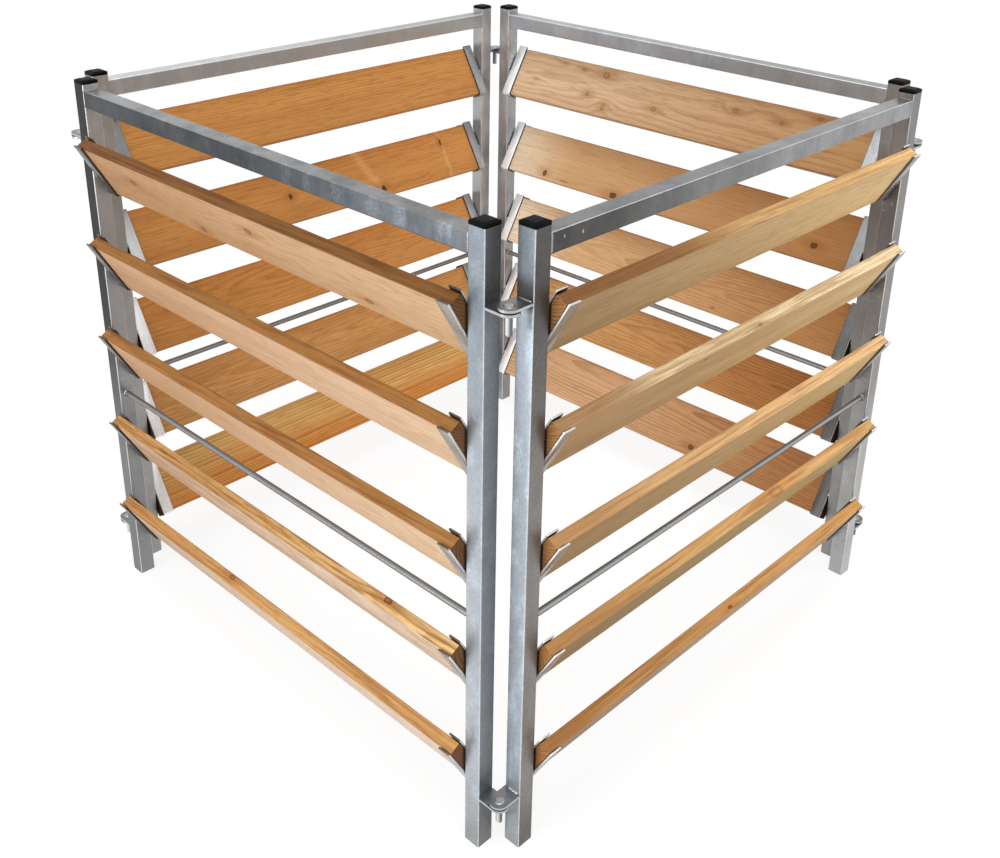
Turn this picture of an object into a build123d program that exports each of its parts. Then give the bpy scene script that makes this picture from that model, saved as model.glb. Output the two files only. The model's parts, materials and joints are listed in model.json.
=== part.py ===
"""Slatted compost bin: four identical galvanised panels hooked together at the corners.

Each panel is a welded frame of square tube with five larch slats dropped into bent strap holders.
The front panel is modelled in its place, and the other three are the same panel turned about Z.
Frame: origin on the floor at the middle of the bin, +Z up, the front panel faces -Y.
The pin end of a panel is its left end seen from outside, the eye end is its right end.
"""
import os
from math import cos, radians, sin

from build123d import *

# Driving dimensions, in millimetres and degrees
panel_length = 990.0        # over the outer end faces of a panel's two posts
post_height = 1000.0        # cut length of a post, which stands on the floor
post_side = 30.0            # square tube of posts and top rails
tube_wall = 2.0
bore_corner = 0.5           # inner corner radius of the tube
rail_height = 30.0
rail_drop = 10.0            # post's cut end down to the rail's top face
rod_diameter = 10.0         # tie rod between the posts
rod_above_slat = 3          # the rod lies halfway between this slat, counted from the top, and the next

slat_count = 5
slat_width = 110.0
slat_thickness = 20.0
slat_edge = 2.0             # eased long edges of a slat
slat_tilt = 30.0            # from upright, with the top edge leaning out
slat_outset = 4.0           # middle of a slat, out from the panel's mid-plane
slat_end_gap = 3.0          # slat's end to the post's side face
top_slat_drop = 143.5       # post's cut end down to the middle of the top slat
bottom_slat_height = 136.5  # floor up to the middle of the bottom slat
slat_side_play = 1.0        # between each face of a slat and the strap
slat_seat_play = 0.3        # between a slat's lower edge and the strap

strap_thickness = 3.0
strap_width = 25.0          # along the slat
strap_bend = 1.5            # inner bend radius
strap_rise = 4.0            # strap ends above the slat's upper edge

corner_gap = 13.0           # post's end face to the near face of the next panel's post
plate_thickness = 4.0       # hinge plates welded on the posts' end faces
plate_gap = 2.0             # between a pin plate and the eye plate below it
plate_inset = 100.0         # post's two ends to the middle of a pair of plates
pin_diameter = 10.0
pin_tip = 30.0              # pin's length below the eye plate
pin_chamfer = 1.5
eye_play = 0.5              # between pin and eye, on the radius

cap_height = 7.0            # plastic cap above the post's cut end
cap_crown = 2.0             # height of the sloped rim within the cap's height
cap_slope = 5.0             # width of the sloped rim
cap_plug = 14.0             # cap's plug down into the post
cap_play = 0.2              # between plug and tube

# Places that follow from them
hinge_reach = post_side / 2 + corner_gap
panel_offset = panel_length / 2 + hinge_reach
post_centre = panel_length / 2 - post_side / 2
clear_width = panel_length - 2 * post_side
bore_side = post_side - 2 * tube_wall
tube_corner = bore_corner + tube_wall
top_slat_height = post_height - top_slat_drop
slat_pitch = (top_slat_height - bottom_slat_height) / (slat_count - 1)
slat_heights = [top_slat_height - slat_pitch * i for i in range(slat_count)]
rod_height = (slat_heights[rod_above_slat - 1] + slat_heights[rod_above_slat]) / 2
pair_heights = [post_height - plate_inset, plate_inset]
pin_plate_lift = plate_gap / 2
eye_plate_lift = -plate_gap / 2 - plate_thickness
pin_length = plate_gap + plate_thickness + pin_tip

# Directions in the front panel: along it, up, and out through a slat's face
along = Vector(1, 0, 0)
upward = Vector(0, 0, 1)
outward = Vector(0, -cos(radians(slat_tilt)), -sin(radians(slat_tilt)))

pin_end = -1
eye_end = 1


def make_post(end):
    """Square tube, open at both cut ends."""
    with BuildPart() as post:
        with BuildSketch() as section:
            with Locations((end * post_centre, -panel_offset)):
                RectangleRounded(post_side, post_side, tube_corner)
                RectangleRounded(bore_side, bore_side, bore_corner, mode=Mode.SUBTRACT)
        extrude(amount=post_height)
    return post.part


def make_top_rail():
    """Square tube welded between the posts a little below their ends."""
    rail_end = Vector(-clear_width / 2, -panel_offset, post_height - rail_drop - rail_height / 2)
    with BuildPart() as rail:
        with BuildSketch(Plane(rail_end, x_dir=upward, z_dir=along)) as section:
            RectangleRounded(rail_height, post_side, tube_corner)
            RectangleRounded(rail_height - 2 * tube_wall, bore_side, bore_corner, mode=Mode.SUBTRACT)
        extrude(amount=clear_width)
    return rail.part


def make_tie_rod():
    """Round bar welded between the posts."""
    rod_end = Vector(-clear_width / 2, -panel_offset, rod_height)
    with BuildPart() as rod:
        with BuildSketch(Plane(rod_end, z_dir=along)) as section:
            Circle(rod_diameter / 2)
        extrude(amount=clear_width)
    return rod.part


def make_slat(height):
    """Larch board with eased long edges, leaning out at the top."""
    middle = Vector(0, -panel_offset - slat_outset, height)
    with BuildPart() as slat:
        with BuildSketch(Plane(middle - outward * slat_thickness / 2, x_dir=along, z_dir=outward)) as face:
            Rectangle(clear_width - 2 * slat_end_gap, slat_width)
        extrude(amount=slat_thickness)
        fillet(slat.edges().filter_by(Axis.X), slat_edge)
    return slat.part


def make_holders(end):
    """U-bent straps on one post's inner side face, each open at the top for one slat end."""
    half_mouth = slat_thickness / 2 + slat_side_play
    seat = -slat_width / 2 - slat_seat_play
    tip = slat_width / 2 + strap_rise
    with BuildPart() as holders:
        for height in slat_heights:
            weld_side = Vector(end * clear_width / 2, -panel_offset - slat_outset, height)
            with BuildSketch(Plane(weld_side, x_dir=outward * end, z_dir=along * -end)) as strap:
                with BuildLine() as bend:
                    FilletPolyline(
                        (-half_mouth, tip),
                        (-half_mouth, seat),
                        (half_mouth, seat),
                        (half_mouth, tip),
                        radius=strap_bend,
                    )
                    offset(amount=strap_thickness, side=Side.RIGHT)
                make_face()
            extrude(amount=strap_width)
    return holders.part


def make_post_caps():
    """Plastic caps with a sloped rim and a plug that fills the tube's mouth."""
    crown_side = post_side - 2 * cap_slope
    plug_side = bore_side - 2 * cap_play
    rim_height = post_height + cap_height - cap_crown
    with BuildPart() as caps:
        for end in (pin_end, eye_end):
            post_axis = (end * post_centre, -panel_offset)
            with BuildSketch(Plane.XY.offset(post_height - cap_plug)) as plug:
                with Locations(post_axis):
                    RectangleRounded(plug_side, plug_side, bore_corner)
            extrude(amount=cap_plug)
            with BuildSketch(Plane.XY.offset(post_height)) as skirt:
                with Locations(post_axis):
                    RectangleRounded(post_side, post_side, tube_corner)
            extrude(amount=cap_height - cap_crown)
            with BuildSketch(Plane.XY.offset(rim_height)) as rim:
                with Locations(post_axis):
                    RectangleRounded(post_side, post_side, tube_corner)
            with BuildSketch(Plane.XY.offset(rim_height + cap_crown)) as crown:
                with Locations(post_axis):
                    RectangleRounded(crown_side, crown_side, tube_corner)
            loft(ruled=True)
    return caps.part


def make_hinge_plates(end, lift, eye_radius):
    """Round-ended plates on a post's end face, one near its top and one near its foot."""
    end_face = end * panel_length / 2
    hinge_axis = end * panel_offset
    with BuildPart() as plates:
        for height in pair_heights:
            with BuildSketch(Plane.XY.offset(height + lift)) as outline:
                with Locations(((end_face + hinge_axis) / 2, -panel_offset)):
                    Rectangle(hinge_reach, post_side)
                with Locations((hinge_axis, -panel_offset)):
                    Circle(post_side / 2)
                    if eye_radius:
                        Circle(eye_radius, mode=Mode.SUBTRACT)
            extrude(amount=plate_thickness)
    return plates.part


def make_hinge_pins():
    """Round pins under the pin plates, which hang in the next panel's eyes."""
    with BuildPart() as pins:
        for height in pair_heights:
            with BuildSketch(Plane.XY.offset(height + pin_plate_lift)) as section:
                with Locations((pin_end * panel_offset, -panel_offset)):
                    Circle(pin_diameter / 2)
            extrude(amount=-pin_length)
        tips = pins.edges().filter_by(GeomType.CIRCLE).filter_by(
            lambda edge: any(abs(edge.center().Z - height - pin_plate_lift + pin_length) < pin_chamfer
                             for height in pair_heights))
        chamfer(tips, pin_chamfer)
    return pins.part


panel_pieces = {
    "pin_post": make_post(pin_end),
    "eye_post": make_post(eye_end),
    "top_rail": make_top_rail(),
    "tie_rod": make_tie_rod(),
    "pin_holders": make_holders(pin_end),
    "eye_holders": make_holders(eye_end),
    "post_caps": make_post_caps(),
    "pin_plates": make_hinge_plates(pin_end, pin_plate_lift, None),
    "eye_plates": make_hinge_plates(eye_end, eye_plate_lift, pin_diameter / 2 + eye_play),
    "hinge_pins": make_hinge_pins(),
}
for number, slat_height in enumerate(slat_heights, start=1):
    panel_pieces[f"slat_{number}"] = make_slat(slat_height)

panel_turns = {"front": 0, "right": 90, "back": 180, "left": 270}

os.makedirs("parts", exist_ok=True)
for panel, turn in panel_turns.items():
    for piece_name, piece in panel_pieces.items():
        with BuildPart() as node:
            add(piece, rotation=(0, 0, turn))
        node.part.label = f"{panel}_{piece_name}"
        export_step(node.part, f"parts/{node.part.label}.step")
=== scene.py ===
# %% [markdown]
# # A slatted compost bin
# The bin is a kit: four identical panels of galvanised square tube hook together at the corners, and larch boards
# drop into bent strap holders on the posts. The CAD frame already has every tube, plate, pin and board at its right
# size and place, so this lesson never moves them. It gives them finishes, and it models what a CAD solid shows too
# plainly: straps with a real bend and a welding gap, lumpy weld beads, drips of zinc, and moulded caps.

# %% Load the frame
import json
from math import cos, pi, radians, sin

import bmesh
import bpy
from mathutils import Matrix, Vector


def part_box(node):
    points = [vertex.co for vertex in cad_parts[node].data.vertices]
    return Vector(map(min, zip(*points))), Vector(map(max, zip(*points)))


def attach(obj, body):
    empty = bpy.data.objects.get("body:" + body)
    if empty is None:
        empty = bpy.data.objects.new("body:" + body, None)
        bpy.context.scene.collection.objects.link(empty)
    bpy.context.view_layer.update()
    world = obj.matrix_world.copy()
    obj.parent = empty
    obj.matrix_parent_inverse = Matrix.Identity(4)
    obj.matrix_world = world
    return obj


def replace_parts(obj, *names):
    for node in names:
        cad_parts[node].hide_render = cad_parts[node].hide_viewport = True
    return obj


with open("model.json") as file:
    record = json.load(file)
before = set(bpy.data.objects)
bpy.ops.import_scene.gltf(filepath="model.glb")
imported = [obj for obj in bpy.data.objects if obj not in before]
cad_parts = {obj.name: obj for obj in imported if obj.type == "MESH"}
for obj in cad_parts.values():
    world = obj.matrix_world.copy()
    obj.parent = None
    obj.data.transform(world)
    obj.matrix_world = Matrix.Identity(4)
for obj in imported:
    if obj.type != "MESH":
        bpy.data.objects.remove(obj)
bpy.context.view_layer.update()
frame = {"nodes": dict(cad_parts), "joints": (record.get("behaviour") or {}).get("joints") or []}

nodes = frame["nodes"]
slide_axes = {joint["child"]: Vector(joint["axis"]) for joint in frame["joints"] if joint["type"] == "slide"}

# %% [markdown]
# The four panels are one panel turned about the middle of the bin, so every new piece is made once, for the front
# panel, and turned into the other three places. In the front panel X runs along the boards, -Y is out and Z is up.

# %% Panels and their turns
panel_turns = {"front": 0, "right": 90, "back": 180, "left": 270}
turn_of = {panel: Matrix.Rotation(radians(turn), 4, "Z") for panel, turn in panel_turns.items()}
ends = {"pin": -1, "eye": 1}
slat_numbers = range(1, 6)


def middle(node):
    """The middle of a CAD node's box."""
    low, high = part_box(node)
    return (low + high) / 2


post_low, post_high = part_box("front_eye_post")
post_side = post_high.x - post_low.x
post_face = post_low.x  # the side of the eye post that faces the pin post
panel_y = middle("front_eye_post").y
print(f"posts {post_side * 1000:.1f} mm square, {2 * post_face * 1000:.0f} mm apart")

# %% [markdown]
# ## Camera
# The photograph was taken from above the bin's corner with the lens pointing a little upwards of the middle, so the
# picture is shifted downwards. A camera's shift does that without tilting the posts. The place, aim, roll and lens
# were found by matching the corners of the posts.

# %% Camera
camera_place = Vector((1.4484, -1.5068, 1.5090))
camera_aim = Vector((-0.0342, 0.0427, 0.5852))
camera_roll = radians(0.95)
camera_sensor = 36.0  # mm, as is the lens
camera_lens = 43.80
camera_shift = -0.14  # in widths of the picture

camera = bpy.data.objects.new("photo_camera", bpy.data.cameras.new("photo_camera"))
camera.data.sensor_width = camera_sensor
camera.data.lens = camera_lens
camera.data.shift_y = camera_shift
camera.location = camera_place
camera.rotation_mode = "QUATERNION"
look = (camera_aim - camera_place).to_track_quat("-Z", "Y")
camera.rotation_quaternion = look @ Matrix.Rotation(camera_roll, 3, "Z").to_quaternion()
bpy.context.scene.collection.objects.link(camera)
bpy.context.scene.camera = camera
print("camera", round((camera_aim - camera_place).length, 3), "m from its aim")

# %% [markdown]
# ## Studio
# The floor and the world are white, as in a cut-out product picture. The trick is to tell rays apart: rays that the
# camera sees, directly or in a gloss, meet a white of strength 1, and the rays that light the object meet a softer
# sky. So the background is white without more light on the wood. The floor is a plane whose shader is partly a lit
# white, which keeps the bin's shadow, and partly plain white. It uses the socket class of the next step, so the
# studio's shaders come after it; here only the floor and the lamps are placed. A wide light hangs above, a softbox
# stands low in front, another one at the right lights the far end of that side most, and a small lamp beside the
# camera draws the thin bright lines on the tubes' round corners.

# %% Floor and lamps
floor_size = 60
bin_middle = Vector((0, 0, 0.5))
bpy.ops.object.select_all(action="DESELECT")
bpy.ops.mesh.primitive_plane_add(size=floor_size, location=(0, 0, 0))
floor = bpy.context.object
floor.name = "studio_floor"


def hang_lamp(name, kind, place, level):
    """A lamp that looks at the bin's middle. At level 1, a white surface there that faces it renders white."""
    lamp = bpy.data.objects.new(name, bpy.data.lights.new(name, kind))
    away = Vector(place) - bin_middle
    lamp.data.energy = level * pi if kind == "SUN" else level * pi ** 2 * away.length_squared
    lamp.location = place
    lamp.rotation_euler = away.to_track_quat("Z", "Y").to_euler()
    lamp.visible_camera = False
    bpy.context.scene.collection.objects.link(lamp)
    return lamp


hang_lamp("top_lamp", "SUN", (0.6, -1.1, 5.0), 0.75).data.angle = radians(60)
hang_lamp("front_lamp", "AREA", (-0.9, -5.0, 0.5), 0.62).data.size = 2.0
hang_lamp("edge_lamp", "AREA", (2.6, -2.7, 2.2), 0.08).data.size = 0.7
side_lamp = hang_lamp("side_lamp", "AREA", (2.6, 1.6, 0.9), 0.30)
side_lamp.data.size = 1.5
side_lamp.visible_glossy = False  # it lights the wood, and the zinc does not mirror it
bpy.context.scene.view_settings.view_transform = "Standard"

# %% [markdown]
# ## Sums on sockets
# A material is a net of nodes, and a pattern needs many small sums. Wiring each Math node by hand hides the idea, so
# one small class wraps a socket: `1 - mask` then adds the Math node by itself. Every other kind of node comes from
# its `node` method, which takes the node's settings first and then the values or links of its sockets.


# %% A socket that does arithmetic
def plug(tree, node, sockets):
    """Set or link a node's inputs. Colours are written as red, green and blue, and their alpha is always 1."""
    for key, value in sockets.items():
        target = node.inputs[key]
        if isinstance(value, Wire):
            tree.links.new(value.socket, target)
        else:
            target.default_value = (*value, 1) if target.type == "RGBA" else value


class Wire:
    """An output socket that can be used in Python sums."""

    def __init__(self, tree, socket=None):
        self.tree = tree
        self.socket = socket

    def node(self, kind, settings=None, sockets=None, output=0):
        """Add a node of any kind and return one of its outputs."""
        made = self.tree.nodes.new("ShaderNode" + kind)
        for key, value in (settings or {}).items():
            setattr(made, key, value)
        plug(self.tree, made, sockets or {})
        return Wire(self.tree, made.outputs[output])

    def math(self, operation, *values):
        return self.node("Math", {"operation": operation}, dict(enumerate(values)))

    def __add__(self, other):
        return self.math("ADD", self, other)

    def __sub__(self, other):
        return self.math("SUBTRACT", self, other)

    def __rsub__(self, other):
        return self.math("SUBTRACT", other, self)

    def __mul__(self, other):
        return self.math("MULTIPLY", self, other)

    def __truediv__(self, other):
        return self.math("DIVIDE", self, other)

    def __abs__(self):
        return self.math("ABSOLUTE", self)

    __radd__ = __add__
    __rmul__ = __mul__


print("a Wire can add, subtract, multiply and divide")

# %% [markdown]
# A few steps come back in every finish: a soft step between two values, a mix of two colours, the x, y or z of a
# place, a place stretched along its axes, a noise whose grain is stretched that way, and the Principled shader at the
# end. They are short functions on a Wire.


# %% Steps that every finish uses
def soft_step(value, start, end):
    """0 below start, 1 above end, and a smooth curve between."""
    return value.node("MapRange", {"interpolation_type": "SMOOTHSTEP"},
                      {"Value": value, "From Min": start, "From Max": end})


def mix(factor, first, second, blend="MIX"):
    """A mix of two colours. Sockets 6 and 7 of the Mix node are its colours, and 2 its colour output."""
    return factor.node("Mix", {"data_type": "RGBA", "blend_type": blend}, {0: factor, 6: first, 7: second}, 2)


def along_axes(place, axes="XYZ"):
    """The single coordinates of a place."""
    return [place.node("SeparateXYZ", {}, {"Vector": place}, axis) for axis in axes]


def vector(place, operation, *values, output=0):
    return place.node("VectorMath", {"operation": operation}, dict(enumerate((place, *values))), output)


def grain(place, per_metre, shift=(0, 0, 0), detail=2.0):
    """Noise with its own number of waves per metre along each axis."""
    stretched = vector(place, "MULTIPLY_ADD", per_metre, shift)
    return place.node("TexNoise", {}, {"Vector": stretched, "Scale": 1.0, "Detail": detail}, "Fac")


def new_finish(name):
    """An empty material: itself, a Wire to start from, and a function that sets its shader's sockets."""
    material = bpy.data.materials.new(name)
    material.use_nodes = True
    tree = material.node_tree
    shader = tree.nodes["Principled BSDF"]
    return material, Wire(tree), lambda **sockets: plug(
        tree, shader, {key.replace("_", " "): value for key, value in sockets.items()})


def bump(height, depth, strength):
    """A Bump node for the shader's Normal; depth is the height in metres that a value of 1 stands for."""
    return height.node("Bump", {}, {"Height": height, "Strength": strength, "Distance": depth}, "Normal")


print("steps: soft_step, mix, along_axes, vector, grain, new_finish, bump")

# %% [markdown]
# With these steps the studio's shaders are a few lines. Light Path tells which kind of ray asks.


# %% White floor and sky
def seen_rays(start):
    """1 for rays that the camera sees directly, in a gloss or through glass, and 0 for rays that light the object."""
    direct, gloss, glass = (start.node("LightPath", output=f"Is {kind} Ray")
                            for kind in ("Camera", "Glossy", "Transmission"))
    return start.math("MAXIMUM", direct, start.math("MAXIMUM", gloss, glass))


white = (1, 1, 1)
sky_strength = 0.20
world = bpy.data.worlds.new("studio_sky")
world.use_nodes = True
sky = Wire(world.node_tree)
plug(world.node_tree, world.node_tree.nodes["Background"], {
    "Color": white, "Strength": sky_strength + seen_rays(sky) * (1 - sky_strength)})
bpy.context.scene.world = world

floor_white_share = 0.70
floor_grey = 0.62
floor_glow = 1.20
floor_finish = bpy.data.materials.new("floor_white")
floor_finish.use_nodes = True
paint = Wire(floor_finish.node_tree)
lit = paint.node("BsdfDiffuse", {}, {"Color": (floor_grey, floor_grey, floor_grey)})
glow = paint.node("Emission", {}, {"Color": white, "Strength": floor_glow})
plug(floor_finish.node_tree, floor_finish.node_tree.nodes["Material Output"], {
    "Surface": paint.node("MixShader", {}, {0: seen_rays(paint) * floor_white_share, 1: lit, 2: glow})})
floor.data.materials.append(floor_finish)
print("sky strength", sky_strength, "and a floor", floor_white_share, "plain white")

# %% [markdown]
# ## Galvanised steel
# Hot-dip zinc is a soft mirror. What a tube's side shows is mostly what it reflects, so the shader is nearly all
# metal, and the pattern sits in its colour: slow clouds, runs that drained off while the zinc was still liquid, and
# patches of frosty crystals, each with its own random grey from a Voronoi texture. A fine speckle is the spangle of
# small crystals all over it, and a wavy skin bends the reflections.


# %% Zinc
def tint(level, warmth=0.0):
    """A grey that is warm above 0 and bluish below."""
    return level * (1 + warmth), level, level * (1 - warmth)


crystals_per_metre = 330.0
skin_depth = 0.0005
stain_tint, frost_tint, spangle_tint = tint(0.50, -0.02), tint(1.7, -0.04), tint(0.60, -0.03)


def zinc(name, tone, stain=0.24, frost=0.30, spangle=0.15, wave=0.04, rough=0.28, metallic=0.92):
    """Hot-dip zinc. Tone is a colour or a function that makes one from the shaded place."""
    material, start, shade = new_finish(name)
    place = start.node("TexCoord", output="Object")
    clouds = grain(place, (18, 18, 14), detail=4.0)
    runs = grain(place, (70, 70, 9), (3.1, 1.7, 0.4))
    stains = soft_step(clouds * 0.75 + runs * 0.25, 0.36, 0.68)
    crystals = start.node("TexVoronoi", {}, {"Vector": place, "Scale": crystals_per_metre}, "Color")
    flake = start.node("SeparateColor", {}, {"Color": crystals}, "Red")
    frosty = soft_step(grain(place, (46, 46, 26), (7.3, 1.2, 4.4), detail=3.0), 0.46, 0.66)
    speckle = soft_step(grain(place, (280, 280, 220), (5.2, 0.9, 3.3), detail=3.0), 0.42, 0.62)
    skin = grain(place, (70, 70, 34), (0.7, 8.1, 2.2))
    colour = tone(place) if callable(tone) else tone
    colour = mix(stains * stain, colour, stain_tint, "MULTIPLY")
    colour = mix(frosty * flake * frost, colour, frost_tint, "MULTIPLY")
    colour = mix(speckle * spangle, colour, spangle_tint, "MULTIPLY")
    shade(
        Base_Color=colour,
        Metallic=metallic,
        Roughness=rough + stains * 0.08 + frosty * 0.10,
        Normal=bump(skin, skin_depth, wave),
    )
    return material


print("zinc: clouds, runs, frosty patches, spangle and a wavy skin")

# %% [markdown]
# The four sides of a tube do not look alike, because each faces another part of the room and mirrors it. That light
# and shade is painted: a tube's tone is given side by side, as a few stops along the tube with a smooth step from one
# to the next. The thin bright lines on its rounded corners are painted highlights, and the darker feet of some posts
# are a painted reflection of the floor. Positions are measured from the tube's own middle in half sizes, so -1 and 1
# are always its ends and its surfaces.

# %% Tones of a square tube
side_skin = (0.94, 0.985)  # a side's colour begins and is full
corner_curve = (0.89, 0.945)  # both distances past this are a rounded corner
foot_reach = (-0.98, -0.70)
# painted highlight on the tubes' rounded corners
corner_highlight = tint(0.90, -0.02)


def tube_tone(node, usual, sides, rim, foot):
    """Painted light on zinc: stops (position, level, warmth) along each side, corner highlights, a foot factor."""
    low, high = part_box(node)
    half = (high - low) / 2
    lengthwise = max(range(3), key=lambda axis: half[axis])

    def tone(place):
        axes = along_axes(vector(place, "MULTIPLY_ADD", [1 / size for size in half],
                                 [-spot / size for spot, size in zip(middle(node), half)]))
        colour = tint(*usual)
        for side, stops in sides.items():
            outwards = axes["XYZ".index(side[1])] * float(side[0] + "1")
            here, *first_tone = stops[0]
            side_colour = tint(*first_tone)
            for next_stop, *next_tone in stops[1:]:
                side_colour = mix(soft_step(axes[lengthwise], here, next_stop), side_colour, tint(*next_tone))
                here = next_stop
            colour = mix(soft_step(outwards, *side_skin), colour, side_colour)
        # painted reflection of the floor: darker at the foot
        colour = mix(1 - soft_step(axes[lengthwise], *foot_reach), colour, tint(*foot), "MULTIPLY")
        # painted highlights along the rounded corners
        first, second = (abs(axes[axis]) for axis in range(3) if axis != lengthwise)
        corner = soft_step(place.math("MINIMUM", first, second), *corner_curve)
        return mix(corner * rim, colour, corner_highlight)

    return tone


usual_tone = (0.27, 0.02)
# shares of the painted corner highlight: most tubes, and the front rail
usual_corner_highlight, front_rail_corner_highlight = 0.75, 0.15
plain_foot = (1.0, 0.0)
# the feet of these posts get a painted reflection of the floor
foot_reflection = {"front_eye_post": (0.70, 0.05), "right_pin_post": (0.62, 0.06)}
# painted light and shade on each side of a tube: stops of (position, level, warmth)
tube_side_light = {
    "front_eye_post": {"-Y": ((0.1, 0.52, -0.08), (0.9, 0.29, -0.12)),
                       "+X": ((0.76, 0.28, -0.05), (0.84, 0.15, -0.02))},
    "front_pin_post": {"-Y": ((-0.5, 0.20, 0.00), (0.2, 0.030, 0.03)),
                       "+X": ((-0.8, 0.27, -0.01), (0.8, 0.48, 0.00))},
    "right_pin_post": {"-Y": ((0.77, 0.59, -0.10), (0.805, 0.07, 0.00), (0.84, 0.09, 0.00), (0.89, 0.27, -0.12)),
                       "+X": ((0.1, 0.26, 0.06), (0.9, 0.11, 0.06))},
    "right_eye_post": {"+X": ((-0.7, 0.47, 0.02), (0.2, 0.24, 0.04)), "-Y": ((-0.8, 0.42, 0.00), (0.8, 0.16, 0.07))},
    "back_pin_post": {"-Y": ((-0.8, 0.27, 0.02), (0.8, 0.18, 0.07))},
    "back_eye_post": {"-Y": ((-0.8, 0.35, -0.03), (0.8, 0.55, 0.00)), "+X": ((-0.8, 0.27, 0.03), (0.8, 0.36, 0.00))},
    "left_pin_post": {"+X": ((-0.8, 0.50, -0.05), (0.8, 0.66, 0.00)), "-Y": ((-0.8, 0.45, -0.05), (0.8, 0.40, 0.00))},
    "left_eye_post": {"+X": ((-0.8, 0.32, 0.02), (0.8, 0.42, 0.04))},
    "front_top_rail": {"-Y": ((-0.1, 0.075, -0.08), (1.0, 0.24, -0.09)),
                       "+Z": ((-0.8, 0.29, -0.01), (0.8, 0.25, 0.00))},
    "right_top_rail": {"+X": ((-1.0, 0.080, 0.05), (0.4, 0.34, -0.01)),
                       "+Z": ((-0.8, 0.21, 0.00), (0.8, 0.31, 0.00))},
    "back_top_rail": {"-Y": ((-0.8, 0.46, -0.09), (0.8, 0.25, 0.03)), "+Z": ((-0.8, 0.44, -0.01), (0.8, 0.33, 0.01))},
    "left_top_rail": {"+X": ((-0.8, 0.44, 0.02), (0.8, 0.44, 0.02)), "+Z": ((-0.8, 0.60, 0.00), (0.8, 0.40, 0.00))},
}
tube_skin = {  # tubes whose zinc froze unevenly
    "front_eye_post": dict(spangle=0.25, rough=0.36),
    "front_pin_post": dict(metallic=1.0, stain=0.12, frost=0.15, rough=0.36),
    "right_pin_post": dict(frost=0.25, spangle=0.30, rough=0.40),
    "front_top_rail": dict(frost=0.7, stain=0.80),
    "right_top_rail": dict(stain=0.45),
    "back_top_rail": dict(stain=0.30, rough=0.42),
    "left_top_rail": dict(stain=0.20, frost=0.2, rough=0.36),
}
print("tubes with their own sides:", len(tube_side_light))

# %% [markdown]
# Round bars get a painted light line along them, the reflection of the white sky in a narrow part of a cylinder.
# Plates get painted dull tops and a painted highlight on the cut rim. Both are bands of height around the middle of
# a bar or plate.

# %% Tones of bars and plates
plate_thickness = 0.004
hinge_reach = abs(panel_y)  # the pins hang at this distance from the middle, along X and Y


def band(place, heights, inside, outside):
    """1 near any of the heights and 0 away from them; the edge lies between the two distances."""
    height, = along_axes(place, "Z")
    nearest, *others = (abs(height - level) for level in heights)
    for away in others:
        nearest = place.math("MINIMUM", nearest, away)
    return 1 - soft_step(nearest, inside, outside)


def bar_tone(flank, shine):
    """A painted reflection: a light line a little above the middle of a tie rod."""
    low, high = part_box("front_tie_rod")
    height = low.z + (high.z - low.z) * 0.72
    return lambda place: mix(band(place, (height,), 0.0010, 0.0030), tint(flank, 0.02), tint(shine, -0.02))


def pin_tone(place):
    """Painted shade on the side of a pin that faces its own panel's post."""
    off_x, off_y = (off - hinge_reach for off in along_axes(vector(place, "ABSOLUTE"), "XY"))
    return mix(soft_step(off_x - off_y, -0.002, 0.003), tint(0.62), tint(0.16, -0.03))


def plate_tone(node):
    """Painted reflection and highlight: dull faces and a bright rim, for the upper and the lower plate of one post."""
    low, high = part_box(node)
    half = plate_thickness / 2
    heights = low.z + half, high.z - half
    return lambda place: mix(band(place, heights, half * 0.75, half * 0.95), tint(0.22), tint(0.50, -0.01))


# the rods' painted reflection, per panel
rod_levels = {  # the flanks and the line
    "front": (0.22, 0.25), "right": (0.19, 0.40), "back": (0.20, 0.34), "left": (0.20, 0.34),
}
rod_skin = dict(stain=0.0, frost=0.0, spangle=0.0, wave=0.0, rough=0.45)
pin_zinc = zinc("zinc_on_pins", pin_tone, stain=0.0, frost=0.1, spangle=0.0, wave=0.0)
weld_zinc = zinc("zinc_on_welds", tint(0.42), stain=0.50)
print("tones: bars, pins, plates and welds")

# %% [markdown]
# ## Black plastic
# The post caps are moulded from a black plastic with a slightly leathery skin. Black is never quite even: a soft
# noise varies the grey and the gloss a little, and a fine bump breaks up the highlights on the rim.

# %% Moulded plastic
deep_black, worn_black = (0.003, 0.003, 0.0034), (0.008, 0.008, 0.009)
leather_depth = 0.0002

cap_plastic, start, shade = new_finish("cap_plastic")
place = start.node("TexCoord", output="Object")
leather = grain(place, (1400, 1400, 1400))
handling = grain(place, (120, 120, 120), (2.0, 5.0, 1.0), detail=3.0)
shade(
    Base_Color=mix(handling, deep_black, worn_black),
    Roughness=0.34 + handling * 0.20,
    Specular_IOR_Level=0.03,
    Normal=bump(leather, leather_depth, 0.3),
)
print("plastic:", cap_plastic.name)

# %% [markdown]
# ## Larch
# Each board is its own cut of a tree, so each gets its own material. A board's rings are cylinders around the tree's
# heart, which lies outside the board: the distance to that axis, cut into equal steps, gives pale early wood and a
# thin dark line of late wood. Because the rings are a solid pattern, faces, edges and sawn ends agree with each
# other. A Mapping node first turns the frame's coordinates into the board's own: x along it, y across its face
# towards the upper edge, z out through the outer face.


# %% Board coordinates
def board_turn(slat):
    """Rotation from a board's own axes to the frame's."""
    upward = slide_axes[slat]
    along = Vector((0, 0, 1)).cross(upward).normalized()
    outward = along.cross(upward)
    return Matrix((along, upward, outward)).transposed()


def board_place(start, slat):
    """The shaded point in a board's own axes."""
    return start.node("Mapping", {"vector_type": "TEXTURE"}, {
        "Vector": start.node("TexCoord", output="Object"),
        "Location": middle(slat),
        "Rotation": board_turn(slat).to_euler(),
    })


def seen_from_board(slat, node):
    """A node's vertices in a board's own axes."""
    to_board = board_turn(slat).transposed()
    return [to_board @ (vertex.co - middle(slat)) for vertex in nodes[node].data.vertices]


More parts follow.
